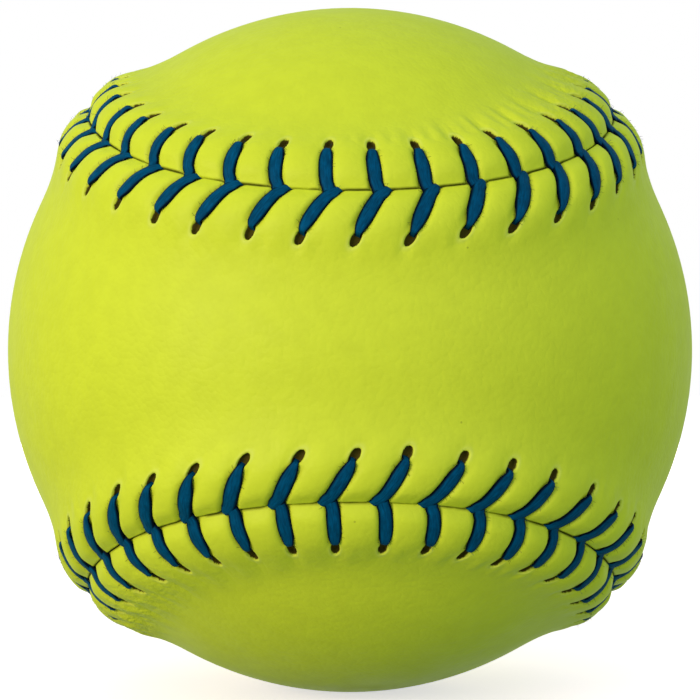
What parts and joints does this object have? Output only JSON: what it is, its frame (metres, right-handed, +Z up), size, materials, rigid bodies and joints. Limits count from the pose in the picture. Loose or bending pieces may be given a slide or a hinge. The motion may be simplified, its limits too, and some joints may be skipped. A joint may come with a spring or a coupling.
{
  "type": "softball",
  "caption": "Round bat-and-ball game ball: optic-yellow figure-8 leather panels laced along one raised herringbone seam with dark waxed thread over a moulded foam core.",
  "frame": {"origin": "centre of the ball, which is also the centre of its box", "axes": "+Z up through the middle of the rear panel's upper lobe, -Y out through the waist of the front panel, X along the front panel from lobe to lobe"},
  "size_m": [0.097, 0.0985, 0.097],
  "materials": {
    "core_foam": "moulded polyurethane foam, fine closed skin",
    "cover_leather": "optic-yellow dyed leather, fine pebble grain, satin",
    "seam_thread": "waxed flat thread, dark teal blue"
  },
  "bodies": {
    "root": {"core": "core_foam", "front_panel": "cover_leather", "rear_panel": "cover_leather", "needle_one_thread": "seam_thread", "needle_two_thread": "seam_thread"}
  },
  "joints": []
}
